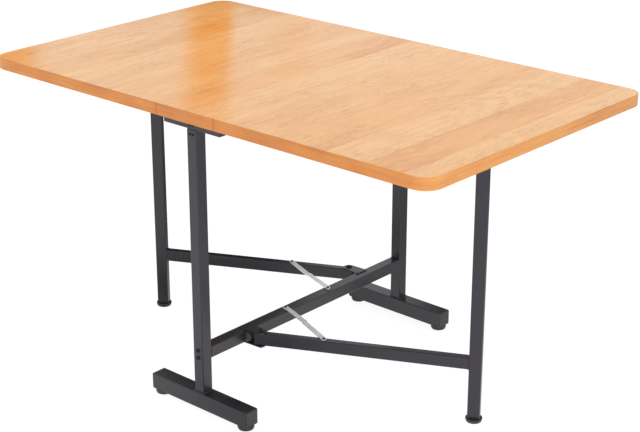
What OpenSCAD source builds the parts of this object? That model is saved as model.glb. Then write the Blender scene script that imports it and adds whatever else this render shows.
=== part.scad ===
/* [Table top] */
// Length of the opened top, along X
top_l = 1360; // [1240:10:1600]
// Width of the top, along Y
top_w = 800; // [760:10:900]
// Height of the top face above the floor
top_h = 750; // [700:5:780]
// Thickness of the boards
board_t = 28; // [22:1:32]
// Width of the fixed centre board, along X
centre_w = 180; // [176:4:240]
// Gap between two boards at a seam
seam_gap = 0.6; // [0.4:0.1:1.5]
// Radius of the four outer corners, seen from above
corner_r = 42; // [15:1:80]
// Thickness of the plastic edge band
band_t = 2; // [1:0.5:3]
// Radius on the two long edges of the edge band
band_edge_r = 1.2; // [0.4:0.1:1.5]

/* [Leaf hinges] */
// Distance of the outer hinges from the middle of the seam
leaf_hinge_y = 230; // [150:5:240]
// Length of a hinge, along the seam
leaf_hinge_l = 60; // [50:5:70]
// Width of one hinge plate, from the pin outwards
leaf_plate_w = 28; // [22:1:30]
// Thickness of a hinge plate
leaf_plate_t = 1.5; // [1.2:0.1:1.6]
// Diameter of the hinge pin
leaf_pin_d = 4; // [3:0.5:5]
// Wall of a knuckle round the pin
knuckle_wall = 1.7; // [1.7:0.1:2]

/* [Frame] */
// Side of the square post tube
post_w = 30; // [28:1:36]
// Distance from the long edge of the top to the middle of a post
post_inset = 35; // [30:1:60]
// Wall thickness of every tube
tube_wall = 1.5; // [1.2:0.1:2]
// Outer corner radius of every tube
tube_r = 2.5; // [2:0.1:3]
// Length of the bar under the centre board
top_bar_l = 172; // [160:2:176]
// Height of the bar under the centre board
top_bar_h = 20; // [18:1:25]
// Thickness of the collar between post and bar
collar_t = 1.5; // [1:0.5:3]
// Side of the square beam between the posts
beam_w = 30; // [25:1:32]
// Height of the middle of the beam above the floor
beam_z = 150; // [130:5:220]

/* [Feet] */
// Length of a foot bar, without its end caps
foot_l = 308; // [280:4:360]
// Side of the square foot bar
foot_w = 40; // [38:1:45]
// Thickness of the head of an end cap
cap_t = 4; // [3:0.5:6]
// Diameter of a glide
glide_d = 40; // [34:1:44]
// Height of a glide under the foot bar
glide_h = 11; // [9:0.5:14]
// Distance of the middle of a glide from the end of the foot bar
glide_inset = 16; // [16:2:40]
// Diameter of the stem that holds a glide in the foot bar
glide_stem_d = 10; // [8:1:12]

/* [Gates] */
// Distance of the gate pivot from the middle of the beam, sideways
pivot_x = 49; // [46:1:54]
// Distance of the gate pivot from the middle of the beam, along it
pivot_y = 219; // [200:1:240]
// Angle between the beam and an open gate
gate_angle = 63.2; // [55:0.2:68]
// Distance from the gate pivot to the middle of the gate leg
gate_l = 519; // [480:0.5:526]
// Width of the gate tube, seen from above
gate_w = 20; // [18:1:22]
// Height of the gate arm, and depth of the gate leg
gate_h = 30; // [28:1:34]
// Length of the gate arm behind its pivot
arm_tail = 10; // [9.5:0.5:14]
// Height of the glide under a gate leg
leg_glide_h = 9; // [7:0.5:12]
// Thickness of the head of the cap on a gate leg
leg_cap_t = 2; // [1.5:0.5:4]
// Thickness of the two bracket tongues
bracket_t = 2.5; // [2:0.5:3]
// Radius of a tongue round the pivot
bracket_r = 14; // [12:0.5:15]
// Width of a tongue where it is welded to the beam
bracket_w = 32; // [28:1:40]
// Length of a tongue that lies on the beam
bracket_lap = 10; // [6:1:12]
// Distance of the rubber buffer on the beam from the gate pivot, along the beam
buffer_side = 9; // [7:0.5:12]
// Diameter of the stem that holds the buffer in the beam
buffer_stem_d = 6; // [5:0.5:8]

/* [Folding stays] */
// Distance of the stay screw on the beam from the middle of the beam
stay_beam_y = 79; // [70:1:90]
// Distance of the stay screw on the gate arm from the gate pivot
stay_arm_r = 155.5; // [150:0.5:170]
// Height of the knee above the straight line when the gate is open
stay_knee = 2.5; // [2:0.5:6]
// Width of a stay link
stay_w = 13; // [11:1:16]
// Thickness of a stay link
stay_t = 2; // [1.5:0.5:2.5]
// Height of the free space under and between the links
stay_gap = 0.4; // [0.3:0.1:0.6]
// Depth that the stay screws reach into the tubes
stay_screw_bite = 9; // [6:1:12]

/* [Fasteners] */
// Diameter of the gate pivot bolt
pivot_d = 8; // [6:1:8]
// Diameter of its button head
pivot_head_d = 14; // [12:1:16]
// Width across the flats of its nut
pivot_af = 13; // [12:1:14]
// Outer diameter of the steel bush in the gate arm
bush_d = 12; // [11:0.5:13]
// Thickness of a washer
washer_t = 1; // [1:0.1:2]
// Diameter of the stay screws
stay_screw_d = 5; // [4:0.5:6]
// Diameter of the rivet at the knee of a stay
rivet_d = 5; // [4:0.5:6]
// Diameter of the long screws through the posts into the beam
beam_screw_d = 6; // [5:0.5:7]
// Diameter of the screws into the boards
wood_screw_d = 4; // [3.5:0.5:4.5]

/* [Hidden] */
// Small clearances: a turning fit, a seated fit, and free space between moving pieces
run_fit = 0.05;
seat_fit = 0.05;
free_gap = 0.3;
glue_gap = 0.1;

// Heights
under_z = top_h - board_t;
bar_z = under_z - top_bar_h;
post_top_z = bar_z - collar_t;
foot_top_z = glide_h + foot_w;
beam_top_z = beam_z + beam_w / 2;
arm_top_z = beam_z + gate_h / 2;
leg_top_z = under_z - free_gap;

// Plan of the frame
post_y = top_w / 2 - post_inset;
foot_x = foot_l / 2;
glide_x = foot_x - glide_inset;
glide_r = glide_d / 2;
glide_stem_r = glide_stem_d / 2;
beam_l = 2 * (post_y - post_w / 2);
in_w = post_w - 2 * tube_wall;

// Leaf hinges
hinge_x = centre_w / 2 + seam_gap / 2;
leaf_pin_r = leaf_pin_d / 2;
knuckle_r = leaf_pin_r + run_fit + knuckle_wall;
hinge_z = under_z - knuckle_r;
knuckle_l = leaf_hinge_l / 5;
hinge_ys = [-leaf_hinge_y, 0, leaf_hinge_y];
plate_holes = [[0.5, -0.36], [0.5, 0.36], [0.72, 0]];
plate_screw_r = 1.75;
plate_screw_head_r = 3.2;
plate_screw_l = 15;

// Screws through the bar into the centre board
bar_screw_x = 75;
wood_r = wood_screw_d / 2;
wood_bite = 18;
pan_h = 2.6;

// Connector between post and bar
collar_step = 1;
plug_fit = 0.1;
plug_l = 36;
tenon_l = 24;
tenon_w = in_w - 4;
joint_screw_r = 1.6;
joint_screw_x = 5;
joint_screw_l = 16;

// Long screws through the posts into the beam
beam_screw_r = beam_screw_d / 2;
beam_screw_z = 9;
beam_screw_l = post_w + 24;
block_l = 32;

// Gates
arm_dir = 90 - gate_angle;
arm_end = gate_l - gate_h / 2;
pivot_r = pivot_d / 2;
bush_r = bush_d / 2;
tongue_z = max(gate_h / 2 + free_gap, beam_w / 2);
nut_h = 4;
nut_r = pivot_af / sqrt(3);
head_h = 3.6;
socket_r = 0.7 * pivot_r;
socket_deep = 2;
pivot_top = tongue_z + bracket_t + washer_t;
tail_r = norm([arm_tail + cap_t, gate_w / 2]);
buffer_r = tongue_z - 1;
buffer_h = pivot_x - beam_w / 2 - tail_r;
buffer_stem_r = buffer_stem_d / 2;
buffer_bead = 3;
insert_l = 18;

// Folding stays, worked out for the open gate
stay_arm_z = arm_top_z + stay_gap;
stay_beam_z = max(stay_arm_z + stay_t, beam_top_z + washer_t) + stay_gap;
stay_r = stay_screw_d / 2;
stay_head_r = stay_r + 1;
stay_head_h = 1.6;
rivet_r = rivet_d / 2;
arm_pt = [pivot_x + stay_arm_r * cos(arm_dir), -pivot_y + stay_arm_r * sin(arm_dir)];
beam_pt = [0, -stay_beam_y];
span = norm(arm_pt - beam_pt);
stay_l = sqrt(pow(span / 2, 2) + pow(stay_knee, 2));
span_dir = (arm_pt - beam_pt) / span;
knee_pt = (arm_pt + beam_pt) / 2 + stay_knee * [-span_dir[1], span_dir[0]];

// The same points with the gate shut, when the knee has gone through to the other side
arm_pt_shut = [pivot_x, -pivot_y + stay_arm_r];
span_shut = norm(arm_pt_shut - beam_pt);
dir_shut = (arm_pt_shut - beam_pt) / span_shut;
rise_shut = sqrt(pow(stay_l, 2) - pow(span_shut / 2, 2));
knee_shut = (arm_pt_shut + beam_pt) / 2 + rise_shut * [dir_shut[1], -dir_shut[0]];

// Travel of the two links as the gate shuts, in degrees
function bearing(p, q) = atan2(q[1] - p[1], q[0] - p[0]);
beam_link_travel = bearing(beam_pt, knee_shut) - bearing(beam_pt, knee_pt);
arm_link_travel = bearing(arm_pt_shut, knee_shut) + 360 - bearing(arm_pt, knee_pt) - gate_angle;
echo(gate_swing = gate_angle, beam_link_swing = beam_link_travel, arm_link_swing = arm_link_travel);

wood = [0.86, 0.63, 0.40];
band_col = [0.80, 0.48, 0.24];
paint = [0.20, 0.20, 0.21];
plastic = [0.08, 0.08, 0.08];
zinc = [0.74, 0.74, 0.76];
black_steel = [0.12, 0.12, 0.13];

// Rectangle with round corners, centred
module round_rect(w, h, r) {
    square([w - 2 * r, h], center = true);
    square([w, h - 2 * r], center = true);
    for (x = [-1, 1], y = [-1, 1])
        translate([x * (w / 2 - r), y * (h / 2 - r)])
            circle(r, $fn = 48);
}

// Cross-section of a tube
module tube_section(w, h) {
    difference() {
        round_rect(w, h, tube_r);
        round_rect(w - 2 * tube_wall, h - 2 * tube_wall, tube_r - tube_wall / 2);
    }
}

// Solid that slides into a tube, from z = 0 to l
module tube_plug(w, h, l, fit = plug_fit) {
    linear_extrude(l)
        round_rect(w - 2 * (tube_wall + fit), h - 2 * (tube_wall + fit), tube_r - tube_wall / 2);
}

// Domed head of an end cap, from z = 0 to t
module cap_head(w, h, t, r = 2.5) {
    rim = 0.6;
    draft = 0.4;
    intersection() {
        hull() {
            linear_extrude(rim)
                round_rect(w, h, tube_r);
            for (x = [-1, 1], y = [-1, 1])
                translate([x * (w / 2 - r - draft), y * (h / 2 - r - draft), t - r])
                    sphere(r, $fn = 16);
        }
        translate([-w / 2, -h / 2, 0])
            cube([w, h, t]);
    }
}

// Pan-headed screw: seat of the head at z = 0, shank down to -l
module pan_screw(r, l, head_r = 0, head = pan_h) {
    hr = head_r > 0 ? head_r : 1.9 * r;
    edge = head * 0.4;
    translate([0, 0, -l])
        cylinder(h = l + head / 2, r = r, $fn = 32);
    difference() {
        union() {
            cylinder(h = head - edge, r = hr, $fn = 40);
            cylinder(h = head, r = hr - edge, $fn = 40);
            rotate_extrude($fn = 40)
                translate([hr - edge, head - edge])
                    circle(edge, $fn = 24);
        }
        for (a = [0, 90])
            rotate(a)
                translate([-0.55 * hr, -0.14 * hr, head * 0.45])
                    cube([1.1 * hr, 0.28 * hr, head]);
    }
}

// Button head on z = 0: a low dome over a short straight rim
module button(r, h) {
    rim = 0.3 * h;
    dome = (r * r + (h - rim) * (h - rim)) / (2 * (h - rim));
    intersection() {
        cylinder(h = h, r = r, $fn = 48);
        translate([0, 0, h - dome])
            sphere(dome, $fn = 64);
    }
}

// Copies at both ends of the table: as drawn, and turned half a turn
module both_ends() {
    children();
    rotate(180)
        children();
}

// Cross-section of the edge band: outer face at x = 0, the band runs inwards
module band_section() {
    r = min(band_edge_r, band_t - 0.2);
    intersection() {
        translate([-band_t, 0])
            square([band_t, board_t]);
        union() {
            translate([-band_t, 0])
                square([band_t - r, board_t]);
            translate([-band_t, r])
                square([band_t, board_t - 2 * r]);
            for (z = [r, board_t - r])
                translate([-r, z])
                    circle(r, $fn = 32);
        }
    }
}

// Straight band along +X, facing +Y
module band_run(l) {
    rotate([90, 0, 90])
        linear_extrude(l)
            band_section();
}

// Quarter turn of band round a corner of the top
module band_turn() {
    rotate_extrude(angle = 90, $fn = 96)
        translate([corner_r, 0])
            band_section();
}

// Holes for the wood screws of the three hinges on one seam, one side of it
module plate_screw_places(side) {
    for (y = hinge_ys, p = plate_holes)
        translate([hinge_x + side * p[0] * leaf_plate_w, y + p[1] * leaf_hinge_l, under_z])
            children();
}

module pilot_hole(r, l) {
    translate([0, 0, -1])
        cylinder(h = l + 1.5, r = r + seat_fit, $fn = 24);
}

module centre_panel() {
    w = top_w - 2 * (band_t + glue_gap);
    color(wood)
        difference() {
            translate([-centre_w / 2, -w / 2, under_z])
                cube([centre_w, w, board_t]);
            both_ends()
                plate_screw_places(-1)
                    pilot_hole(plate_screw_r, plate_screw_l);
            for (x = [-1, 1], y = [-1, 1])
                translate([x * bar_screw_x, y * post_y, under_z])
                    pilot_hole(wood_r, wood_bite);
        }
}

module centre_edge_bands() {
    color(band_col)
        both_ends()
            translate([-centre_w / 2, top_w / 2, under_z])
                band_run(centre_w);
}

module leaf() {
    back = band_t + glue_gap;
    x0 = centre_w / 2 + seam_gap;
    x1 = top_l / 2 - back;
    y1 = top_w / 2 - back;
    r = corner_r - back;
    difference() {
        translate([0, 0, under_z])
            linear_extrude(board_t) {
                translate([x0, -y1])
                    square([x1 - r - x0, 2 * y1]);
                translate([x0, -y1 + r])
                    square([x1 - x0, 2 * (y1 - r)]);
                for (y = [-1, 1])
                    translate([x1 - r, y * (y1 - r)])
                        circle(r, $fn = 96);
            }
        plate_screw_places(1)
            pilot_hole(plate_screw_r, plate_screw_l);
    }
}

module leaf_edge_band() {
    x0 = centre_w / 2 + seam_gap;
    x1 = top_l / 2 - corner_r;
    y1 = top_w / 2 - corner_r;
    translate([0, 0, under_z]) {
        translate([x0, top_w / 2])
            band_run(x1 - x0);
        translate([x1, y1])
            band_turn();
        translate([top_l / 2, y1])
            rotate(-90)
                band_run(2 * y1);
        translate([x1, -y1])
            rotate(-90)
                band_turn();
        translate([x1, -top_w / 2])
            rotate(180)
                band_run(x1 - x0);
    }
}

module leaf_right() { color(wood) leaf(); }
module leaf_left() { color(wood) rotate(180) leaf(); }
module leaf_right_edge_band() { color(band_col) leaf_edge_band(); }
module leaf_left_edge_band() { color(band_col) rotate(180) leaf_edge_band(); }

// One plate of a butt hinge; side 1 lies under the leaf, side -1 under the centre board
module hinge_plate(side, knuckles, gaps) {
    difference() {
        union() {
            translate([side > 0 ? 0 : -leaf_plate_w, -leaf_hinge_l / 2, knuckle_r - leaf_plate_t])
                cube([leaf_plate_w, leaf_hinge_l, leaf_plate_t]);
            for (k = knuckles)
                translate([0, (k - 2.5) * knuckle_l + free_gap / 2, 0])
                    rotate([-90, 0, 0])
                        cylinder(h = knuckle_l - free_gap, r = knuckle_r, $fn = 40);
        }
        for (k = gaps)
            translate([-knuckle_r - free_gap, (k - 2.5) * knuckle_l - free_gap / 2, -knuckle_r - 1])
                cube([2 * (knuckle_r + free_gap), knuckle_l + free_gap, 2 * knuckle_r + 2]);
        translate([0, -leaf_hinge_l / 2 - 1, 0])
            rotate([-90, 0, 0])
                cylinder(h = leaf_hinge_l + 2, r = leaf_pin_r + run_fit, $fn = 32);
        for (p = plate_holes)
            translate([side * p[0] * leaf_plate_w, p[1] * leaf_hinge_l, knuckle_r - leaf_plate_t])
                screw_sink();
    }
}

// Countersunk hole through a hinge plate
module screw_sink() {
    translate([0, 0, -1])
        cylinder(h = leaf_plate_t + 2, r = plate_screw_r + seat_fit, $fn = 24);
    cylinder(h = leaf_plate_t, r1 = plate_screw_head_r + seat_fit,
        r2 = plate_screw_r + seat_fit, $fn = 32);
}

module hinge_row() {
    for (y = hinge_ys)
        translate([hinge_x, y, hinge_z])
            children();
}

module leaf_hinge_centre_plates() {
    color(zinc)
        both_ends()
            hinge_row()
                hinge_plate(-1, [0, 2, 4], [1, 3]);
}

module leaf_hinge_leaf_plates() {
    color(zinc)
        both_ends()
            hinge_row()
                hinge_plate(1, [1, 3], [0, 2, 4]);
}

module leaf_hinge_pins() {
    color(zinc)
        both_ends()
            hinge_row()
                translate([0, -leaf_hinge_l / 2, 0])
                    rotate([-90, 0, 0])
                        cylinder(h = leaf_hinge_l, r = leaf_pin_r, $fn = 32);
}

module leaf_hinge_screws() {
    color(zinc)
        both_ends()
            for (side = [-1, 1])
                plate_screw_places(side) {
                    translate([0, 0, -leaf_plate_t])
                        cylinder(h = leaf_plate_t, r1 = plate_screw_head_r, r2 = plate_screw_r, $fn = 32);
                    cylinder(h = plate_screw_l, r = plate_screw_r, $fn = 24);
                }
}

// The four screws in the outer face of a post: two in the bar, two in the post
module joint_screw_places() {
    for (x = [-1, 1], z = [bar_z + top_bar_h / 2, post_top_z - top_bar_h / 2])
        translate([x * joint_screw_x, -post_y - post_w / 2, z])
            rotate([90, 0, 0])
                children();
}

module beam_screw_places() {
    for (z = [-1, 1])
        translate([0, -post_y - post_w / 2, beam_z + z * beam_screw_z])
            rotate([90, 0, 0])
                children();
}

module post() {
    difference() {
        translate([0, -post_y, foot_top_z])
            linear_extrude(post_top_z - foot_top_z)
                tube_section(post_w, post_w);
        joint_screw_places()
            translate([0, 0, -joint_screw_l])
                cylinder(h = joint_screw_l + 1, r = joint_screw_r + seat_fit, $fn = 24);
        beam_screw_places()
            translate([0, 0, -post_w - 1])
                cylinder(h = post_w + 2, r = beam_screw_r + seat_fit, $fn = 24);
    }
}

module post_near() { color(paint) post(); }
module post_far() { color(paint) rotate(180) post(); }

module foot_bar() {
    difference() {
        translate([-foot_x, -post_y, glide_h + foot_w / 2])
            rotate([90, 0, 90])
                linear_extrude(foot_l)
                    tube_section(foot_w, foot_w);
        for (x = [-1, 1])
            translate([x * glide_x, -post_y, glide_h - 1])
                cylinder(h = tube_wall + 2, r = glide_stem_r + seat_fit, $fn = 32);
    }
}

module foot_bar_near() { color(paint) foot_bar(); }
module foot_bar_far() { color(paint) rotate(180) foot_bar(); }

// End caps with a domed head and a hollow plug that grips inside the tube
module foot_end_caps() {
    color(plastic)
        both_ends()
            for (s = [0, 1])
                translate([0, -post_y, glide_h + foot_w / 2])
                    mirror([s, 0, 0])
                        translate([foot_x, 0, 0])
                            rotate([0, 90, 0]) {
                                cap_head(foot_w, foot_w, cap_t);
                                hollow_plug(foot_w, foot_w, glide_inset - glide_stem_r - 1);
                            }
}

// Hollow plug under a cap head, going down from z = 0
module hollow_plug(w, h, l) {
    wall = 2;
    edge = 2 * (tube_wall + plug_fit);
    translate([0, 0, -l])
        linear_extrude(l)
            difference() {
                round_rect(w - edge, h - edge, tube_r - tube_wall / 2);
                square([w - edge - 2 * wall, h - edge - 2 * wall], center = true);
            }
}

// Disc with a rounded lower edge
module soft_disc(r, h, soft) {
    cylinder(h = h, r = r - soft, $fn = 72);
    translate([0, 0, soft])
        cylinder(h = h - soft, r = r, $fn = 72);
    translate([0, 0, soft])
        rotate_extrude($fn = 72)
            translate([r - soft, 0])
                circle(soft, $fn = 32);
}

// Round glide: a body with a sliding pad under it, set back from the rim
module glide_disc(r, h) {
    pad_h = 3;
    pad_step = 1.6;
    soft_disc(r - pad_step, h / 2, 1.2);
    translate([0, 0, pad_h])
        soft_disc(r, h - pad_h, 2);
}

module foot_glides() {
    color(plastic)
        for (x = [-1, 1], y = [-1, 1])
            translate([x * glide_x, y * post_y, 0]) {
                glide_disc(glide_r, glide_h);
                cylinder(h = glide_h + insert_l, r = glide_stem_r, $fn = 32);
            }
}

module top_bar() {
    difference() {
        translate([-top_bar_l / 2, -post_y, bar_z + top_bar_h / 2])
            rotate([90, 0, 90])
                linear_extrude(top_bar_l)
                    tube_section(post_w, top_bar_h);
        translate([-tenon_l / 2 - seat_fit, -post_y - tenon_w / 2 - seat_fit, bar_z - 1])
            cube([tenon_l + 2 * seat_fit, tenon_w + 2 * seat_fit, tube_wall + 2]);
        joint_screw_places()
            translate([0, 0, -joint_screw_l])
                cylinder(h = joint_screw_l + 1, r = joint_screw_r + seat_fit, $fn = 24);
        for (x = [-1, 1])
            translate([x * bar_screw_x, -post_y, bar_z - 1])
                cylinder(h = top_bar_h + 2, r = wood_r + seat_fit, $fn = 24);
    }
}

module top_bar_near() { color(paint) top_bar(); }
module top_bar_far() { color(paint) rotate(180) top_bar(); }

module top_bar_end_caps() {
    short = 8;
    color(plastic)
        both_ends()
            for (s = [0, 1])
                translate([0, -post_y, bar_z + top_bar_h / 2])
                    mirror([s, 0, 0])
                        translate([top_bar_l / 2, 0, 0])
                            rotate([90, 0, 90]) {
                                cap_head(post_w, top_bar_h, 2.5, 1.8);
                                translate([0, 0, -short])
                                    tube_plug(post_w, top_bar_h, short);
                            }
}

module top_bar_screws() {
    color(black_steel)
        for (x = [-1, 1], y = [-1, 1])
            translate([x * bar_screw_x, y * post_y, bar_z])
                mirror([0, 0, 1])
                    pan_screw(wood_r, top_bar_h + wood_bite, 4.2);
}

// Moulded connector: plug in the post, collar, and tenon in the bar
module post_connectors() {
    color(plastic)
        both_ends()
            difference() {
                translate([0, -post_y, 0]) {
                    translate([0, 0, post_top_z - plug_l])
                        tube_plug(post_w, post_w, plug_l + collar_t / 2);
                    translate([0, 0, post_top_z])
                        linear_extrude(collar_t)
                            round_rect(post_w - 2 * collar_step, post_w - 2 * collar_step, tube_r);
                    translate([-tenon_l / 2, -tenon_w / 2, bar_z - collar_t / 2])
                        cube([tenon_l, tenon_w, top_bar_h - tube_wall - plug_fit + collar_t / 2]);
                }
                joint_screw_places()
                    translate([0, 0, -joint_screw_l - 0.5])
                        cylinder(h = joint_screw_l + 1, r = joint_screw_r + seat_fit, $fn = 24);
            }
}

module connector_screws() {
    color(black_steel)
        both_ends()
            joint_screw_places()
                pan_screw(joint_screw_r, joint_screw_l, 3, 2);
}

module stretcher_beam() {
    color(paint)
        difference() {
            translate([0, beam_l / 2, beam_z])
                rotate([90, 0, 0])
                    linear_extrude(beam_l)
                        tube_section(beam_w, beam_w);
            both_ends()
                translate([beam_pt[0], beam_pt[1], beam_top_z - tube_wall - 1])
                    cylinder(h = tube_wall + 2, r = stay_r + seat_fit, $fn = 32);
            at_buffer()
                translate([0, 0, -tube_wall - 1])
                    cylinder(h = tube_wall + 2, r = buffer_stem_r + seat_fit, $fn = 32);
        }
}

// Blocks in the ends of the beam that the long screws bite into
module beam_end_blocks() {
    color(zinc)
        both_ends()
            difference() {
                translate([0, -beam_l / 2 + block_l, beam_z])
                    rotate([90, 0, 0])
                        tube_plug(beam_w, beam_w, block_l);
                beam_screw_places()
                    translate([0, 0, -beam_screw_l - 1])
                        cylinder(h = beam_screw_l, r = beam_screw_r + seat_fit, $fn = 24);
            }
}

module beam_screws() {
    color(black_steel)
        both_ends()
            beam_screw_places()
                pan_screw(beam_screw_r, beam_screw_l, 5.2, 3);
}

// Point where a line from p touches the circle of radius r round c, on side s
function touch(p, c, r, s) =
    let (d = norm(p - c), a = atan2(p[1] - c[1], p[0] - c[0]) + s * acos(r / d))
    c + r * [cos(a), sin(a)];

// Tongue of the pivot bracket, seen from above: straight on the beam, round at the pivot
module tongue(x0) {
    c = [pivot_x, -pivot_y];
    low = [x0 + bracket_lap, -pivot_y - bracket_w / 2];
    high = [x0 + bracket_lap, -pivot_y + bracket_w / 2];
    polygon([low, touch(low, c, bracket_r, 1), touch(high, c, bracket_r, -1), high]);
    translate([x0, low[1]])
        square([bracket_lap, bracket_w]);
    translate(c)
        circle(bracket_r, $fn = 64);
}

// Two tongues, welded on the top and the bottom of the beam, that hold the pivot bolt
module gate_bracket() {
    root = beam_w / 2 - bracket_lap;
    difference() {
        for (s = [0, 1])
            translate([0, 0, beam_z])
                mirror([0, 0, s]) {
                    translate([0, 0, tongue_z])
                        linear_extrude(bracket_t)
                            tongue(root);
                    translate([root, -pivot_y - bracket_w / 2, beam_w / 2])
                        cube([bracket_lap, bracket_w, tongue_z + bracket_t / 2 - beam_w / 2]);
                }
        translate([pivot_x, -pivot_y, beam_z - gate_h])
            cylinder(h = 2 * gate_h, r = pivot_r + run_fit, $fn = 48);
    }
}

// Places a child on the side of the beam, between the tongues, with z pointing outwards
module at_buffer() {
    both_ends()
        translate([beam_w / 2, -pivot_y - buffer_side, beam_z])
            rotate([0, 90, 0])
                children();
}

// Domed rubber buffers with a stem and a bead that snaps in behind the wall of the beam
module gate_buffers() {
    lip = 0.8;
    color(plastic)
        at_buffer() {
            button(buffer_r, buffer_h);
            translate([0, 0, -tube_wall - buffer_bead])
                cylinder(h = tube_wall + buffer_bead + 1, r = buffer_stem_r, $fn = 32);
            translate([0, 0, -tube_wall - buffer_bead])
                cylinder(h = buffer_bead - seat_fit, r1 = buffer_stem_r - lip,
                    r2 = buffer_stem_r + lip, $fn = 32);
        }
}

module gate_bracket_right() { color(paint) gate_bracket(); }
module gate_bracket_left() { color(paint) rotate(180) gate_bracket(); }

module at_pivot() {
    both_ends()
        translate([pivot_x, -pivot_y, beam_z])
            children();
}

module gate_pivot_bolts() {
    color(black_steel)
        at_pivot() {
            translate([0, 0, -pivot_top - nut_h - 1])
                cylinder(h = 2 * pivot_top + nut_h + 2, r = pivot_r, $fn = 48);
            translate([0, 0, pivot_top])
                difference() {
                    button(pivot_head_d / 2, head_h);
                    translate([0, 0, head_h - socket_deep])
                        cylinder(h = head_h, r = socket_r, $fn = 6);
                }
        }
}

module gate_pivot_washers() {
    color(black_steel)
        at_pivot()
            for (s = [0, 1])
                mirror([0, 0, s])
                    translate([0, 0, tongue_z + bracket_t])
                        difference() {
                            cylinder(h = washer_t, r = 2 * pivot_r, $fn = 48);
                            translate([0, 0, -1])
                                cylinder(h = washer_t + 2, r = pivot_r + run_fit, $fn = 48);
                        }
}

module gate_pivot_nuts() {
    color(black_steel)
        at_pivot()
            translate([0, 0, -pivot_top - nut_h])
                difference() {
                    intersection() {
                        cylinder(h = nut_h, r = nut_r, $fn = 6);
                        cylinder(h = nut_h, r1 = pivot_af / 2, r2 = nut_r + nut_h, $fn = 48);
                    }
                    translate([0, 0, -1])
                        cylinder(h = nut_h + 2, r = pivot_r + seat_fit, $fn = 48);
                }
}

// Screw on the beam that each stay turns about
module stay_beam_screws() {
    color(black_steel)
        both_ends()
            translate([beam_pt[0], beam_pt[1], stay_beam_z + stay_t + free_gap])
                pan_screw(stay_r, stay_beam_z + stay_t + free_gap - beam_top_z + stay_screw_bite,
                    stay_head_r, stay_head_h);
}

// Places a child on the open gate: x runs from the pivot along the arm, z = 0 at beam height
module on_gate() {
    translate([pivot_x, -pivot_y, beam_z])
        rotate(arm_dir)
            children();
}

module gate_arm() {
    on_gate()
        difference() {
            translate([-arm_tail, 0, 0])
                rotate([90, 0, 90])
                    linear_extrude(arm_tail + arm_end)
                        tube_section(gate_w, gate_h);
            translate([0, 0, -gate_h])
                cylinder(h = 2 * gate_h, r = bush_r + seat_fit, $fn = 48);
            translate([stay_arm_r, 0, gate_h / 2 - tube_wall - 1])
                cylinder(h = tube_wall + 2, r = stay_r + seat_fit, $fn = 32);
        }
}

module gate_arm_plug() {
    short = arm_tail - bush_r - 1;
    on_gate()
        translate([-arm_tail, 0, 0])
            rotate([0, -90, 0]) {
                cap_head(gate_h, gate_w, cap_t);
                translate([0, 0, -short])
                    tube_plug(gate_h, gate_w, short);
            }
}

module gate_bush() {
    on_gate()
        translate([0, 0, -gate_h / 2])
            difference() {
                cylinder(h = gate_h, r = bush_r, $fn = 48);
                translate([0, 0, -1])
                    cylinder(h = gate_h + 2, r = pivot_r + run_fit, $fn = 48);
            }
}

module gate_leg() {
    on_gate()
        translate([gate_l, 0, leg_glide_h - beam_z])
            linear_extrude(leg_top_z - leg_cap_t - leg_glide_h)
                tube_section(gate_h, gate_w);
}

module gate_leg_cap() {
    on_gate()
        translate([gate_l, 0, leg_top_z - leg_cap_t - beam_z]) {
            linear_extrude(leg_cap_t)
                round_rect(gate_h, gate_w, tube_r);
            hollow_plug(gate_h, gate_w, insert_l);
        }
}

module gate_leg_glide() {
    on_gate()
        translate([gate_l, 0, -beam_z]) {
            glide_disc(glide_r, leg_glide_h);
            tube_plug(gate_h, gate_w, leg_glide_h + insert_l);
        }
}

// Spacer under the beam link, which lifts it over the arm link
module stay_spacer() {
    h = stay_beam_z - stay_gap - beam_top_z;
    translate([beam_pt[0], beam_pt[1], beam_top_z])
        difference() {
            cylinder(h = h, r = stay_w / 2 - 1, $fn = 40);
            translate([0, 0, -1])
                cylinder(h = h + 2, r = stay_r + seat_fit, $fn = 32);
        }
}

module stay_arm_screw() {
    on_gate()
        translate([stay_arm_r, 0, stay_arm_z + stay_t + free_gap - beam_z])
            pan_screw(stay_r, stay_arm_z + stay_t + free_gap - arm_top_z + stay_screw_bite,
                stay_head_r, stay_head_h);
}

// Flat link from p to q with round ends; hole radius ra at p and rb at q
module link(p, q, z, ra, rb) {
    translate([p[0], p[1], z])
        rotate(bearing(p, q))
            difference() {
                linear_extrude(stay_t) {
                    translate([0, -stay_w / 2])
                        square([stay_l, stay_w]);
                    for (x = [0, stay_l])
                        translate([x, 0])
                            circle(stay_w / 2, $fn = 64);
                }
                translate([0, 0, -1])
                    cylinder(h = stay_t + 2, r = ra, $fn = 32);
                translate([stay_l, 0, -1])
                    cylinder(h = stay_t + 2, r = rb, $fn = 32);
            }
}

module stay_beam_link() { link(beam_pt, knee_pt, stay_beam_z, stay_r + run_fit, rivet_r + seat_fit); }
module stay_arm_link() { link(arm_pt, knee_pt, stay_arm_z, stay_r + run_fit, rivet_r + seat_fit); }

// Lower half of the knee rivet, flush in the arm link
module stay_rivet_tail() {
    translate([knee_pt[0], knee_pt[1], stay_arm_z])
        cylinder(h = stay_t, r = rivet_r, $fn = 32);
}

// Upper half of the knee rivet with its round head, in the beam link
module stay_rivet() {
    head = 1.5;
    translate([knee_pt[0], knee_pt[1], stay_beam_z]) {
        cylinder(h = stay_t + head / 2, r = rivet_r, $fn = 32);
        translate([0, 0, stay_t])
            button(1.7 * rivet_r, head);
    }
}

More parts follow.
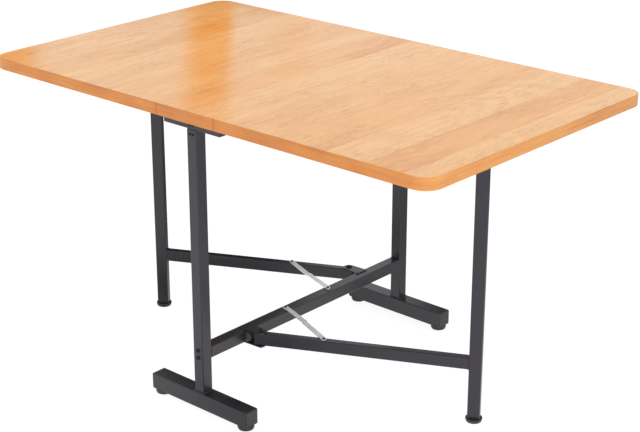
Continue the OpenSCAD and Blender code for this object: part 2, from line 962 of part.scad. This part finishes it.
module gate_arm_right() { color(paint) gate_arm(); }
module gate_arm_left() { color(paint) rotate(180) gate_arm(); }
module gate_arm_plug_right() { color(plastic) gate_arm_plug(); }
module gate_arm_plug_left() { color(plastic) rotate(180) gate_arm_plug(); }
module gate_leg_right() { color(paint) gate_leg(); }
module gate_leg_left() { color(paint) rotate(180) gate_leg(); }
module gate_leg_cap_right() { color(plastic) gate_leg_cap(); }
module gate_leg_cap_left() { color(plastic) rotate(180) gate_leg_cap(); }
module gate_leg_glide_right() { color(plastic) gate_leg_glide(); }
module gate_leg_glide_left() { color(plastic) rotate(180) gate_leg_glide(); }
module gate_bush_right() { color(zinc) gate_bush(); }
module gate_bush_left() { color(zinc) rotate(180) gate_bush(); }
module stay_spacer_right() { color(zinc) stay_spacer(); }
module stay_spacer_left() { color(zinc) rotate(180) stay_spacer(); }
module stay_arm_screw_right() { color(black_steel) stay_arm_screw(); }
module stay_arm_screw_left() { color(black_steel) rotate(180) stay_arm_screw(); }
module stay_beam_link_right() { color(zinc) stay_beam_link(); }
module stay_beam_link_left() { color(zinc) rotate(180) stay_beam_link(); }
module stay_arm_link_right() { color(zinc) stay_arm_link(); }
module stay_arm_link_left() { color(zinc) rotate(180) stay_arm_link(); }
module stay_rivet_tail_right() { color(zinc) stay_rivet_tail(); }
module stay_rivet_tail_left() { color(zinc) rotate(180) stay_rivet_tail(); }
module stay_rivet_right() { color(zinc) stay_rivet(); }
module stay_rivet_left() { color(zinc) rotate(180) stay_rivet(); }

centre_panel();
centre_edge_bands();
leaf_right();
leaf_right_edge_band();
leaf_left();
leaf_left_edge_band();
leaf_hinge_centre_plates();
leaf_hinge_leaf_plates();
leaf_hinge_pins();
leaf_hinge_screws();
post_near();
post_far();
foot_bar_near();
foot_bar_far();
foot_end_caps();
foot_glides();
top_bar_near();
top_bar_far();
top_bar_end_caps();
top_bar_screws();
post_connectors();
connector_screws();
stretcher_beam();
beam_end_blocks();
beam_screws();
gate_bracket_right();
gate_bracket_left();
gate_buffers();
gate_pivot_bolts();
gate_pivot_washers();
gate_pivot_nuts();
stay_beam_screws();
gate_arm_right();
gate_arm_plug_right();
gate_leg_right();
gate_leg_cap_right();
gate_leg_glide_right();
gate_bush_right();
stay_spacer_right();
stay_arm_screw_right();
gate_arm_left();
gate_arm_plug_left();
gate_leg_left();
gate_leg_cap_left();
gate_leg_glide_left();
gate_bush_left();
stay_spacer_left();
stay_arm_screw_left();
stay_beam_link_right();
stay_rivet_tail_right();
stay_arm_link_right();
stay_rivet_right();
stay_beam_link_left();
stay_rivet_tail_left();
stay_arm_link_left();
stay_rivet_left();
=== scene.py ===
import math

import bmesh
import bpy
from mathutils import Matrix, Vector


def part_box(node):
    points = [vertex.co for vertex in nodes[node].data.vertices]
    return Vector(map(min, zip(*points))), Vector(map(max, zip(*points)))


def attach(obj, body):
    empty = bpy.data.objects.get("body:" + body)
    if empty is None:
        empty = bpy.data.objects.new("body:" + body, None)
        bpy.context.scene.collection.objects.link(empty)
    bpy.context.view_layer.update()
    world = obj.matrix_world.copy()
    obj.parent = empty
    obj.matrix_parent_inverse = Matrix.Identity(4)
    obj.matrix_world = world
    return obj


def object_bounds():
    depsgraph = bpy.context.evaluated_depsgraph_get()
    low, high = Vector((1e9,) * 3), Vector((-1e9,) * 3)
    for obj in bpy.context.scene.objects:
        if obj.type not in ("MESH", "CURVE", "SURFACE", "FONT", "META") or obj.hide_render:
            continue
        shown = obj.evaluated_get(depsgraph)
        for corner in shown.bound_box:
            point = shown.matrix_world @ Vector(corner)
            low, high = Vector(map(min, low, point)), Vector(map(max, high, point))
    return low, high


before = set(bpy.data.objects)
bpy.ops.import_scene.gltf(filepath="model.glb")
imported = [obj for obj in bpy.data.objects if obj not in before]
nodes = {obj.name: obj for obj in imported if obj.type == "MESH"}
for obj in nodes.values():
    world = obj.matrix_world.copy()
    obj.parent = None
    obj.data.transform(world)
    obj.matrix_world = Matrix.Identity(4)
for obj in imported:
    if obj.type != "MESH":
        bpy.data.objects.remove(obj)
cad_box = [list(corner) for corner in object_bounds()]
scene = bpy.context.scene
scene.view_settings.view_transform = "Standard"


# Camera: the photograph's own standpoint, in front of the near long edge and to the right.
# A long lens looks down on the table top at about 21 degrees.
camera_at = Vector((2.4228, -2.6778, 1.7867))
camera_turn = math.radians(41.62)
camera_rise = math.radians(21.19)
towards_camera = Vector((
    math.sin(camera_turn) * math.cos(camera_rise),
    -math.cos(camera_turn) * math.cos(camera_rise),
    math.sin(camera_rise),
))
camera = bpy.data.objects.new("camera", bpy.data.cameras.new("camera"))
camera.location = camera_at
camera.rotation_mode = "QUATERNION"
camera.rotation_quaternion = towards_camera.to_track_quat("Z", "Y")
camera.data.lens = 88.87
camera.data.sensor_width = 36
camera.data.clip_end = 60
scene.collection.objects.link(camera)
scene.camera = camera


# Studio: a white floor that runs into a white surround, with soft boxes from the right, the left
# and above. Gloss doesn't show the boxes. It shows painted shade in patches on the floor, and the
# cards behind the table, amber ones as deeper stripes on the top and black ones as darker steel.
white = (1, 1, 1, 1)


def put(tree, kind, inputs=(), **settings):
    """A node of that kind, its settings made, its inputs set or linked."""
    made = tree.nodes.new(kind)
    for name, value in settings.items():
        setattr(made, name, value)
    for name, value in dict(inputs).items():
        if isinstance(value, bpy.types.NodeSocket):
            tree.links.new(value, made.inputs[name])
        else:
            made.inputs[name].default_value = value
    return made


def maths(tree, operation, first, second=0):
    """One step of arithmetic, on one value or two."""
    return put(tree, "ShaderNodeMath", {0: first, 1: second}, operation=operation).outputs[0]


def times(tree, first, second):
    """The product of two values."""
    return maths(tree, "MULTIPLY", first, second)


def between(tree, value, low, high, least=0, most=1):
    """Least at low, most at high, even in between."""
    return put(tree, "ShaderNodeMapRange", {
        "Value": value, "From Min": low, "From Max": high,
        "To Min": least, "To Max": most}).outputs["Result"]


def place_on(tree, axis=None):
    """Object coordinates, or just one of them."""
    place = put(tree, "ShaderNodeTexCoord").outputs["Object"]
    if axis is None:
        return place
    return put(tree, "ShaderNodeSeparateXYZ", {"Vector": place}).outputs[axis]


def rays(tree, *kinds):
    """1 for rays of any of these kinds."""
    path = put(tree, "ShaderNodeLightPath").outputs
    any_kind = path[kinds[0]]
    for kind in kinds[1:]:
        any_kind = maths(tree, "MAXIMUM", any_kind, path[kind])
    return any_kind


def shader_mix(tree, share, first, second):
    """The first shader where share is 0, the second where it is 1."""
    return put(tree, "ShaderNodeMixShader", {0: share, 1: first, 2: second}).outputs[0]


def white_paper(tree, grey, glow):
    """White paper of that grey, lifted by a glow of that strength."""
    catch = put(tree, "ShaderNodeBsdfDiffuse", {"Color": (grey, grey, grey, 1)})
    lift = put(tree, "ShaderNodeEmission", {"Color": white, "Strength": glow})
    return put(tree, "ShaderNodeAddShader", {0: catch.outputs[0], 1: lift.outputs[0]}).outputs[0]


def bare_material(name):
    """A new material with an empty node tree."""
    made = bpy.data.materials.new(name)
    made.use_nodes = True
    made.node_tree.nodes.clear()
    return made, made.node_tree


surround_light = 0.72
world = bpy.data.worlds.new("studio")
world.use_nodes = True
scene.world = world
tree = world.node_tree
tree.nodes.clear()
lit, shown = [
    put(tree, "ShaderNodeBackground", {"Color": white, "Strength": strength}).outputs[0]
    for strength in (surround_light, 1)]
put(tree, "ShaderNodeOutputWorld", {"Surface": shader_mix(
    tree, rays(tree, "Is Camera Ray", "Is Glossy Ray", "Is Transmission Ray"), lit, shown)})

floor_half = 15
mesh = bpy.data.meshes.new("floor")
bm = bmesh.new()
bmesh.ops.create_grid(bm, x_segments=1, y_segments=1, size=floor_half)
bm.to_mesh(mesh)
bm.free()
floor = bpy.data.objects.new("floor", mesh)
scene.collection.objects.link(floor)

# Each patch of painted shade on the floor, seen only in gloss and mirrored in the steel: its
# centre, the radii where its edge starts and ends, and how dark it is.
painted_shade_patches = [
    ((0.13, -0.62, 0), 0.1, 0.4, 0.6),
    ((-0.35, -0.2, 0), 0.15, 0.28, 0.85),
    ((-0.9, 1.35, 0), 0.9, 1.5, 0.8),
    ((0.75, 1.35, 0), 0.6, 1.3, 0.6),
]
lit_grey = 0.8
gloss_grey, gloss_glow = 0.02, 1.2
seen_grey, seen_glow = 0.2, 0.9
paper, tree = bare_material("white_floor")
paper.cycles.emission_sampling = "NONE"
# Painted shade: each patch dims the floor's glow for glossy rays only.
for centre, inside, outside, dark in painted_shade_patches:
    off = put(tree, "ShaderNodeVectorMath", {0: place_on(tree), 1: centre}, operation="DISTANCE")
    gloss_glow = times(tree, gloss_glow,
                       between(tree, off.outputs["Value"], inside, outside, 1 - dark, 1))
in_gloss = shader_mix(tree, rays(tree, "Is Glossy Ray", "Is Transmission Ray"),
                      white_paper(tree, lit_grey, 0), white_paper(tree, gloss_grey, gloss_glow))
to_camera = rays(tree, "Is Camera Ray")
from_above = shader_mix(tree, to_camera, in_gloss, white_paper(tree, seen_grey, seen_glow))
# A camera below the floor looks up through it.
from_below = times(tree, to_camera, put(tree, "ShaderNodeNewGeometry").outputs["Backfacing"])
clear = put(tree, "ShaderNodeBsdfTransparent").outputs[0]
put(tree, "ShaderNodeOutputMaterial", {
    "Surface": shader_mix(tree, from_below, from_above, clear)})
mesh.materials.append(paper)

# Each soft box: where it stands, its width and height, and its watts.
soft_boxes = {
    "left_box": ((-1.3, -2.3, 0.6), (1.6, 1.0), 13),
    "right_box": ((2.4, -1.3, 0.6), (1.6, 1.0), 26),
    "top_box": ((0.4, 0.2, 3.6), (3.2, 3.2), 34),
}
table_middle = Vector((0, 0, 0.4))
for name, (at, size, watts) in soft_boxes.items():
    lamp = bpy.data.lights.new(name, "AREA")
    lamp.shape = "RECTANGLE"
    lamp.size, lamp.size_y = size
    lamp.energy = watts
    box = bpy.data.objects.new(name, lamp)
    box.location = at
    box.rotation_mode = "QUATERNION"
    box.rotation_quaternion = (Vector(at) - table_middle).to_track_quat("Z", "Y")
    box.visible_camera = False
    box.visible_glossy = False
    scene.collection.objects.link(box)

# Each card: how far it reaches sideways and in height, how soft its left, right and top edges
# are, its colour and how well it covers. All stand in one plane and lean to the left.
away = Vector((-math.sin(camera_turn), math.cos(camera_turn), 0))
sideways = Vector((math.cos(camera_turn), math.sin(camera_turn), 0))
upwards = Vector((0, 0, 1))
card_away = 1.0
card_lean = 0.09
amber = (0.95, 0.25, 0.03, 1)
black = (0.01, 0.01, 0.01, 1)
cards = {
    "amber_card_middle": ((-0.31, -0.14), (0.79, 1.42), (0.06, 0.02, 0.34), amber, 1),
    "amber_card_faint": ((-0.04, 0.10), (0.79, 1.2), (0.05, 0.05, 0.2), amber, 0.2),
    "amber_card_left": ((-1.6, -0.705), (0.79, 1.4), (0.02, 0.07, 0.2), amber, 1),
    "black_card_low": ((-0.56, 0.115), (0, 0.84), (0.1, 0.14, 0.01), black, 1),
    "black_card_right": ((0.31, 1.6), (0, 0.8), (0.14, 0.1, 0.01), black, 1),
}
for name, (span, height, softness, colour, cover) in cards.items():
    left, right = span
    low, high = height
    soft_left, soft_right, soft_top = softness
    cloth, tree = bare_material(name)
    across = put(tree, "ShaderNodeVectorMath", {
        0: place_on(tree), 1: sideways + card_lean * upwards},
        operation="DOT_PRODUCT").outputs["Value"]
    solid = times(tree, between(tree, across, left, left + soft_left),
                  between(tree, across, right, right - soft_right))
    solid = times(tree, solid, between(tree, place_on(tree, "Z"), high, high - soft_top))
    solid = times(tree, solid, cover)
    clear = put(tree, "ShaderNodeBsdfTransparent").outputs[0]
    dyed = put(tree, "ShaderNodeBsdfDiffuse", {"Color": colour}).outputs[0]
    put(tree, "ShaderNodeOutputMaterial", {"Surface": shader_mix(tree, solid, clear, dyed)})
    mesh = bpy.data.meshes.new(name)
    bm = bmesh.new()
    bm.faces.new([
        bm.verts.new(card_away * away + (s - card_lean * z) * sideways + z * upwards)
        for s, z in ((left, low), (right, low), (right, high), (left, high))])
    bm.to_mesh(mesh)
    bm.free()
    mesh.materials.append(cloth)
    card = bpy.data.objects.new(name, mesh)
    card.visible_camera = False
    card.visible_diffuse = False
    card.visible_shadow = False
    scene.collection.objects.link(card)


# Boards: the fixed centre board and the two leaves, particle board under a warm beech laminate.
# One sheet is printed across all three, with the grain running across the table, and a plain grey
# sheet backs them underneath.
def finish(name):
    """A new material, and its tree and shader."""
    made = bpy.data.materials.new(name)
    made.use_nodes = True
    return made, made.node_tree, made.node_tree.nodes["Principled BSDF"]


def dress(material, *names):
    """Gives CAD nodes that finish."""
    for name in names:
        slots = nodes[name].data.materials
        slots.clear()
        slots.append(material)


def grain(tree, scale, detail=2, rough=0.5, wavy=0, turn=0, at=(0, 0, 0)):
    """Noise, so fine per metre along X, Y and Z after a turn about Z in degrees."""
    turned = put(tree, "ShaderNodeMapping", {
        "Vector": place_on(tree), "Location": at, "Rotation": (0, 0, math.radians(turn))})
    scaled = put(tree, "ShaderNodeMapping", {"Vector": turned.outputs[0], "Scale": scale})
    return put(tree, "ShaderNodeTexNoise", {
        "Vector": scaled.outputs[0], "Scale": 1, "Detail": detail, "Roughness": rough,
        "Distortion": wavy}).outputs["Fac"]


def sum_of(tree, *parts):
    """Weighted sum of (value, weight) pairs."""
    total = None
    for value, weight in parts:
        part = times(tree, value, weight)
        total = part if total is None else maths(tree, "ADD", total, part)
    return total


def tones(tree, value, *stops, steps="LINEAR"):
    """Colour from a value: stops are (position, colour)."""
    ramp = put(tree, "ShaderNodeValToRGB", {"Fac": value})
    ramp.color_ramp.interpolation = steps
    marks = ramp.color_ramp.elements
    while len(marks) < len(stops):
        marks.new(0.5)
    for mark, (position, colour) in zip(marks, stops):
        mark.position = position
        mark.color = (*colour, 1)
    return ramp.outputs["Color"]


def blend_of(tree, share, first, second):
    """Colour between two, each a socket or a plain colour."""
    mix = put(tree, "ShaderNodeMix", data_type="RGBA")
    for socket, value in ((mix.inputs["Factor"], share), (mix.inputs[6], first),
                          (mix.inputs[7], second)):
        if isinstance(value, bpy.types.NodeSocket):
            tree.links.new(value, socket)
        else:
            socket.default_value = (*value, 1)
    return mix.outputs[2]


def rough_by(tree, shader, value, smooth, dull):
    """Roughness that follows a value, from smooth to dull."""
    tree.links.new(between(tree, value, 0, 1, smooth, dull), shader.inputs["Roughness"])


def relief(tree, shader, height, strength, depth):
    """Bump of that depth in metres."""
    tree.links.new(put(tree, "ShaderNodeBump", {
        "Height": height, "Strength": strength, "Distance": depth}).outputs[0],
        shader.inputs["Normal"])


pale_beech, warm_beech = (0.915, 0.528, 0.204), (0.850, 0.404, 0.106)
print_brown = (0.52, 0.175, 0.045)
backing_dark, backing_pale = (0.36, 0.365, 0.39), (0.41, 0.415, 0.44)
# Each plank of the print: where it starts along the table, and how dark it is.
planks = [
    (-0.68, 0.3), (-0.524, 0.8), (-0.42, 0.2), (-0.33, 0.4), (-0.26, 0.65), (-0.162, 0.35),
    (-0.086, 0.95), (0.003, 0.1), (0.085, 0.25), (0.138, 0.5), (0.25, 0.8), (0.41, 0.15),
    (0.518, 1.0), (0.615, 0.2),
]
ring_count = 44
laminate, tree, shader = finish("beech_laminate")
pore = grain(tree, (300, 55, 1), detail=3, rough=0.6, wavy=0.3)
pores = times(tree, between(tree, pore, 0.52, 0.70),
              between(tree, grain(tree, (13, 6, 1)), 0.36, 0.62))
streak = between(tree, grain(tree, (125, 7, 1), detail=4, rough=0.65, wavy=0.5), 0.42, 0.75)
figure = grain(tree, (2.6, 0.6, 1), rough=0.45, wavy=0.3, at=(0.37, 0.21, 0))
ring = maths(tree, "FRACT", sum_of(tree, (figure, ring_count), (streak, 0.5)))
rings = times(tree, between(tree, ring, 0.5, 1),
              between(tree, grain(tree, (4.5, 2.2, 1)), 0.46, 0.66))
left_end, right_end = cad_box[0][0], cad_box[1][0]
plank = tones(tree, between(tree, place_on(tree, "X"), left_end, right_end), *[
    ((start - left_end) / (right_end - left_end), (dark, dark, dark))
    for start, dark in planks], steps="CONSTANT")
warmth = grain(tree, (40, 6, 1), detail=3, rough=0.6, wavy=0.5)
blotch = grain(tree, (16, 4, 1), detail=3, rough=0.55, wavy=0.6)
spot = grain(tree, (60, 12, 1), detail=3, rough=0.6, wavy=0.6, at=(0.3, 0.7, 0))
fleck = between(tree, spot, 0.58, 0.72)
heart = times(tree, plank, between(tree, blotch, 0.48, 0.62))
depth = sum_of(tree, (pores, 0.56), (streak, 0.33), (rings, 0.26), (fleck, 0.26), (heart, 0.18))
body_tone = tones(tree, sum_of(tree, (plank, 0.5), (warmth, 0.4), (blotch, 0.4)),
                  (0.36, pale_beech), (0.98, warm_beech))
print_tone = blend_of(tree, depth, body_tone, print_brown)
board_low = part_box("centre_panel")[0][2]
print_ends, backing_starts = board_low + 0.001, board_low + 0.0002
beneath = between(tree, place_on(tree, "Z"), print_ends, backing_starts)
backing = tones(tree, warmth, (0.38, backing_dark), (0.62, backing_pale))
tree.links.new(blend_of(tree, beneath, print_tone, backing), shader.inputs["Base Color"])
rough_by(tree, shader, sum_of(tree, (depth, 0.3), (beneath, 0.7)), smooth=0.18, dull=0.58)
dress(laminate, "centre_panel", "leaf_right", "leaf_left")


# Edge band: 2 mm plastic with the same beech print, glued round the boards and rounded off.
# Its grain runs lengthwise along the edge, and it is a little dark where two boards meet. At the
# table's ends it is painted paler and yellower, as painted light on the end faces.
seam_brown = (0.48, 0.15, 0.032)
seam_full, seam_faint = 0.0010, 0.0020
band, tree, shader = finish("beech_edge_band")
line = grain(tree, (8, 8, 420), detail=4, rough=0.65)
broad = grain(tree, (5, 5, 70))
patch = grain(tree, (13, 13, 9))
shade = sum_of(tree, (line, 0.5), (broad, 0.3), (patch, 0.2))
rough_by(tree, shader, line, smooth=0.36, dull=0.55)
relief(tree, shader, line, strength=0.1, depth=0.0002)
pale, middling, dark = 0.36, 0.50, 0.64
long_edge = tones(tree, shade, (pale, (0.70, 0.280, 0.068)), (middling, (0.61, 0.218, 0.048)),
                  (dark, (0.48, 0.150, 0.031)))
# Painted light: the short edges at the table's ends get a paler, yellower copy of the band's
# tones.
painted_lit_end_edge = tones(tree, shade, (pale, (0.71, 0.33, 0.095)), (middling, (0.65, 0.28, 0.075)),
                   (dark, (0.55, 0.21, 0.055)))
off_middle = maths(tree, "ABSOLUTE", place_on(tree, "X"))
corner_starts, corner_ends = right_end - 0.05, right_end - 0.01
painted_light_at_end = between(tree, off_middle, corner_starts, corner_ends)
# The band's tone here carries the painted light at the ends.
print_tone = blend_of(tree, painted_light_at_end, long_edge, painted_lit_end_edge)
seam_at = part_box("centre_panel")[1][0]
off_seam = maths(tree, "ABSOLUTE", maths(tree, "SUBTRACT", off_middle, seam_at))
at_seam = between(tree, off_seam, seam_faint, seam_full)
tree.links.new(blend_of(tree, at_seam, print_tone, seam_brown), shader.inputs["Base Color"])
dress(band, "centre_edge_bands", "leaf_right_edge_band", "leaf_left_edge_band")


# Frame: square and flat steel tube, powder coated in dark anthracite satin.
# The coat keeps the faint draw lines of the tube, lengthwise along each piece.
def powder_coat(name, lengthwise, turn=0):
    """Satin coat over a tube; lengthwise is the pattern size per metre along X, Y and Z."""
    coat, tree, shader = finish(name)
    shader.inputs["Base Color"].default_value = (0.019, 0.0185, 0.022, 1)
    shader.inputs["Specular Tint"].default_value = (1, 0.93, 1, 1)
    draw_line = grain(tree, lengthwise, detail=3, rough=0.6, turn=turn)
    peel = grain(tree, (900, 900, 900))
    uneven = sum_of(tree, (draw_line, 0.6), (peel, 0.4))
    rough_by(tree, shader, draw_line, smooth=0.24, dull=0.4)
    relief(tree, shader, uneven, strength=0.12, depth=0.0003)
    return coat


line_across, line_along = 260, 3
pivot_low, leg_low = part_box("gate_bush_right")[0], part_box("gate_leg_right")[0]
gate_turn = math.degrees(math.atan2(leg_low[1] - pivot_low[1], leg_low[0] - pivot_low[0]))
dress(powder_coat("paint_uprights", (line_across, line_across, line_along)),
      "post_near", "post_far", "gate_leg_right", "gate_leg_left")
dress(powder_coat("paint_bars", (line_along, line_across, line_across)),
      "foot_bar_near", "foot_bar_far", "top_bar_near", "top_bar_far",
      "gate_bracket_right", "gate_bracket_left")
dress(powder_coat("paint_beam", (line_across, line_along, line_across)), "stretcher_beam")
dress(powder_coat("paint_arms", (line_along, line_across, line_across), -gate_turn),
      "gate_arm_right", "gate_arm_left")


# Welds: the tubes are joined by painted fillet beads, rippled as the torch left them: round the
# foot of each post, round the end of each gate arm and along the edge of each bracket tongue.
post_bead, arm_bead, tongue_bead = 0.0025, 0.0022, 0.0018
bead_sides, bead_steps = 8, 288
ripples, ripple_depth = 48, 0.13
squareness = 10
leg_half_depth = 0.015
arm_half_width, arm_rounding = 0.010, 0.0008
tongue_half_line, tongue_rounding = 0.0006, 0.001
paint_welds = powder_coat("paint_welds", (400, 400, 400))


def weld_ring(bm, place, half_x, half_y, bead):
    """A rippled bead round a rectangle, put in place by a matrix."""
    done = set(bm.verts)
    section = bmesh.ops.create_circle(bm, segments=bead_sides, radius=bead)["verts"]
    bmesh.ops.rotate(bm, verts=section, matrix=Matrix.Rotation(math.pi / 2, 3, "X"))
    bmesh.ops.translate(bm, verts=section, vec=(1, 0, 0))
    loop = {edge for vert in section for edge in vert.link_edges}
    bmesh.ops.spin(bm, geom=[*section, *loop], axis=(0, 0, 1), cent=(0, 0, 0),
                   steps=bead_steps, angle=2 * math.pi, use_merge=True)
    ring = [vert for vert in bm.verts if vert not in done]
    for vert in ring:
        around = math.atan2(vert.co.y, vert.co.x)
        swell = 1 + ripple_depth * math.sin(ripples * around)
        out = (math.hypot(vert.co.x, vert.co.y) - 1) * swell
        c, s = math.cos(around), math.sin(around)
        reach = (abs(c) ** squareness + abs(s) ** squareness) ** (-1 / squareness)
        facing = Vector((math.copysign(abs(c * reach) ** (squareness - 1) / half_x, c),
                         math.copysign(abs(s * reach) ** (squareness - 1) / half_y, s), 0))
        vert.co = (Vector((half_x * c * reach, half_y * s * reach, vert.co.z * swell))
                   + out * facing.normalized())
    bmesh.ops.transform(bm, matrix=place, verts=ring)


def weld(name, body, *rings):
    """Beads that ride on a body, each given by weld_ring's place and sizes."""
    bm = bmesh.new()
    for ring in rings:
        weld_ring(bm, *ring)
    bmesh.ops.recalc_face_normals(bm, faces=bm.faces)
    mesh = bpy.data.meshes.new(name)
    bm.to_mesh(mesh)
    bm.free()
    mesh.shade_smooth()
    mesh.materials.append(paint_welds)
    bead = bpy.data.objects.new(name, mesh)
    scene.collection.objects.link(bead)
    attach(bead, body)


for name in ("near", "far"):
    (x0, y0, z0), (x1, y1, _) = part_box("post_" + name)
    weld("weld_post_" + name, "frame", (
        Matrix.Translation(((x0 + x1) / 2, (y0 + y1) / 2, z0)),
        (x1 - x0) / 2, (y1 - y0) / 2, post_bead))

along = Matrix.Rotation(math.radians(gate_turn), 4, "Z")
upright = Matrix.Rotation(math.pi / 2, 4, "Y")
beam_low, beam_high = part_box("stretcher_beam")
for name, sign in (("right", 1), ("left", -1)):
    low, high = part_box("gate_leg_" + name)
    leg_at = Vector([(a + b) / 2 for a, b in zip(low, high)])
    low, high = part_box("gate_arm_" + name)
    leg_at.z = (low[2] + high[2]) / 2
    arm_half_height = (high[2] - low[2]) / 2
    face = leg_at - sign * leg_half_depth * (along @ Vector((1, 0, 0)))
    weld("weld_gate_" + name, "gate_" + name, (
        Matrix.Translation(face) @ along @ upright,
        arm_half_height - arm_rounding, arm_half_width - arm_rounding, arm_bead))
    (x0, y0, _), (x1, y1, _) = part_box("gate_bracket_" + name)
    weld("weld_tongues_" + name, "frame", *[
        (Matrix.Translation((x0 if sign > 0 else x1, (y0 + y1) / 2, z)),
         tongue_half_line, (y1 - y0) / 2 - tongue_rounding, tongue_bead)
        for z in (beam_low[2], beam_high[2])])


# Plastic parts: end caps, plugs, glides, buffers and connectors, moulded in black with a fine
# spark texture, and pushed into the tubes or onto them.
plastic, tree, shader = finish("black_plastic")
shader.inputs["Base Color"].default_value = (0.022, 0.022, 0.0225, 1)
rough_by(tree, shader, grain(tree, (60, 60, 60), detail=3), smooth=0.34, dull=0.52)
relief(tree, shader, grain(tree, (1600, 1600, 1600)), strength=0.25, depth=0.0002)
dress(plastic, "gate_buffers", "foot_end_caps", "foot_glides", "top_bar_end_caps",
      "post_connectors", "gate_arm_plug_right", "gate_arm_plug_left", "gate_leg_cap_right",
      "gate_leg_cap_left", "gate_leg_glide_right", "gate_leg_glide_left")


# Screws, bolts, nuts and washers: steel with a black oxide finish, a little uneven.
# They hold the bars to the board and the posts, and the gates and stays to the beam.
oxide_dark, oxide_pale = (0.010, 0.010, 0.011), (0.022, 0.021, 0.021)
black_steel, tree, shader = finish("black_steel")
shader.inputs["Specular IOR Level"].default_value = 0.2
patchy = grain(tree, (340, 340, 340), detail=3, rough=0.6)
rough_by(tree, shader, patchy, smooth=0.26, dull=0.5)
tree.links.new(tones(tree, patchy, (0.35, oxide_dark), (0.7, oxide_pale)),
               shader.inputs["Base Color"])
dress(black_steel, "top_bar_screws", "connector_screws", "beam_screws", "gate_pivot_bolts",
      "gate_pivot_washers", "gate_pivot_nuts", "stay_beam_screws", "stay_arm_screw_right",
      "stay_arm_screw_left")


# Zinc plated steel: the stay links are blanked from brushed strip, so their fine lines run
# lengthwise; hinges, bushes and spacers have the same plating with a dull, even grain.
def zinc_plate(name, lengthwise, turn=0, dull=0.5):
    """Zinc plating over a grain; lengthwise is its size per metre along X, Y and Z."""
    plate, tree, shader = finish(name)
    shader.inputs["Metallic"].default_value = 1
    brushed = grain(tree, lengthwise, detail=3, rough=0.6, turn=turn)
    bloom = grain(tree, (45, 45, 45))
    rough_by(tree, shader, brushed, smooth=dull - 0.16, dull=dull)
    relief(tree, shader, brushed, strength=0.08, depth=0.0001)
    tree.links.new(tones(tree, bloom, (0.3, zinc_grey), (0.7, zinc_pale)),
                   shader.inputs["Base Color"])
    return plate


zinc_grey, zinc_pale = (0.83, 0.82, 0.83), (0.93, 0.92, 0.93)
stay_turn = 20
dress(zinc_plate("zinc_plated_links", (30, 1300, 1300), turn=stay_turn, dull=0.54),
      "stay_beam_link_right", "stay_beam_link_left", "stay_arm_link_right",
      "stay_arm_link_left")
dress(zinc_plate("zinc_plated_steel", (700, 500, 700)), "leaf_hinge_centre_plates",
      "leaf_hinge_leaf_plates", "leaf_hinge_pins", "leaf_hinge_screws", "beam_end_blocks",
      "gate_bush_right", "gate_bush_left", "stay_spacer_right", "stay_spacer_left",
      "stay_rivet_tail_right", "stay_rivet_tail_left", "stay_rivet_right", "stay_rivet_left")
